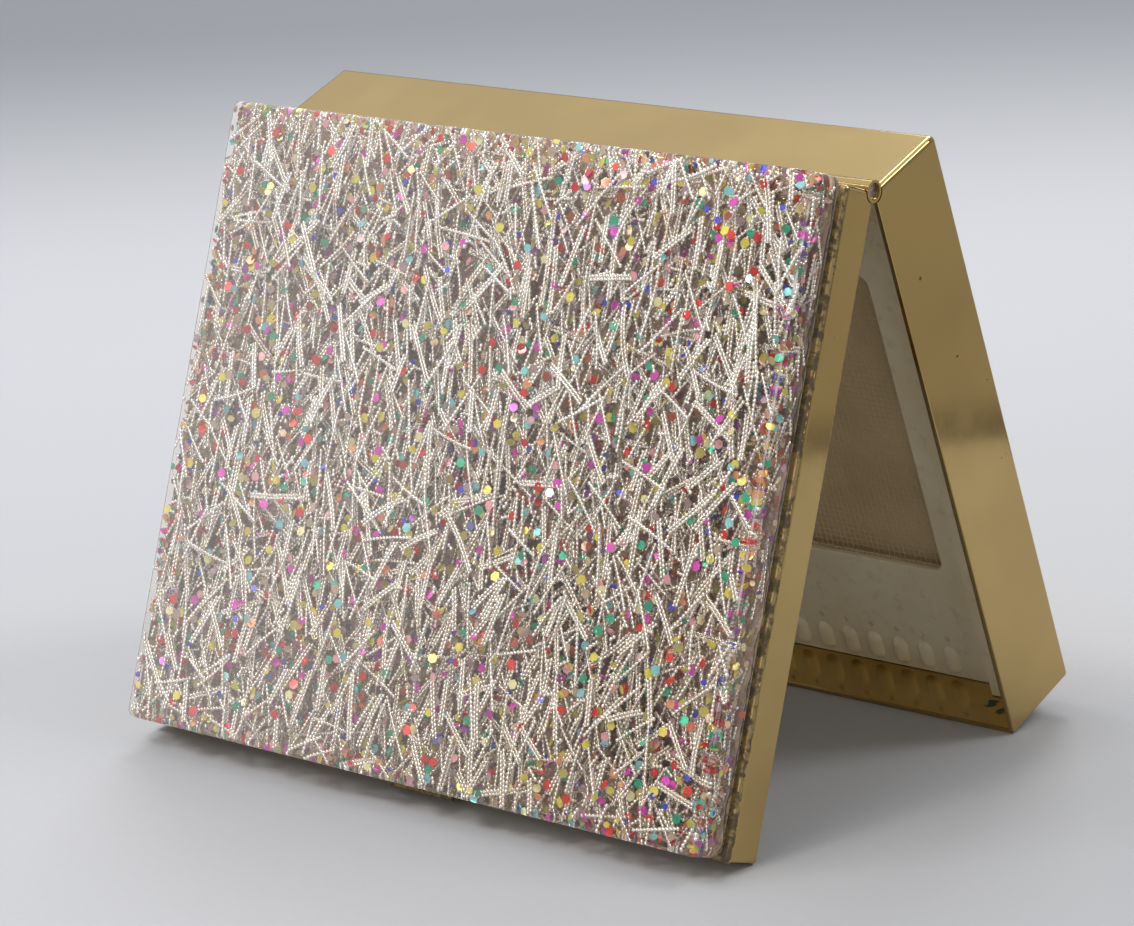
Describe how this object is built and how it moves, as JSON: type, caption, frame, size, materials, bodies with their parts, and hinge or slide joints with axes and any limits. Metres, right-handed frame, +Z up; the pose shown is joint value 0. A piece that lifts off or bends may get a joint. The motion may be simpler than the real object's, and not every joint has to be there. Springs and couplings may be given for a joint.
{
  "type": "powder compact",
  "caption": "Rectangular hinged brass vanity powder compact with a confetti acrylic lid, a mirror in the lid and a powder sifter in the base, standing open like a tent.",
  "frame": {"origin": "on the surface the open compact stands on, under the middle of its outline", "axes": "+X along the hinge, -Y towards the lid's show face, +Y towards the base's underside, +Z up"},
  "size_m": [0.076, 0.061, 0.0634],
  "materials": {
    "polished_brass": "polished sheet, lightly worn",
    "gilt_brass": "thin gilt pressed sheet",
    "confetti_acrylic": "clear polished acrylic full of silver wire bits and coloured glitter",
    "aged_glue": "dried dark glue",
    "mirror": "silvered",
    "backing_card": "grey-brown card",
    "cream_plastic": "moulded, slightly glossy, cream",
    "net": "fine open net dusted with powder",
    "powder": "matte face powder"
  },
  "bodies": {
    "base": {"base_pan": "polished_brass", "base_hinge_leaf": "polished_brass", "hinge_pin": "polished_brass", "base_keeper": "polished_brass", "sifter_frame": "cream_plastic", "sifter_net": "net", "net_ring": "cream_plastic", "powder_tray": "gilt_brass", "powder_cake": "powder", "frame_detents": "polished_brass"},
    "lid": {"lid_pan": "polished_brass", "lid_hinge_leaf": "polished_brass", "glue_film": "aged_glue", "confetti_slab": "confetti_acrylic", "mirror_backing": "backing_card", "mirror_glass": "mirror", "mirror_frame": "gilt_brass", "thumb_piece": "polished_brass", "lid_tongue": "polished_brass"}
  },
  "joints": [
    {"name": "lid_hinge", "type": "hinge", "parent": "base", "child": "lid", "pos_m": [0, -0.00083, 0.06002], "axis": [-1, 0, 0], "range_deg": [-39.4, 130.6]}
  ]
}
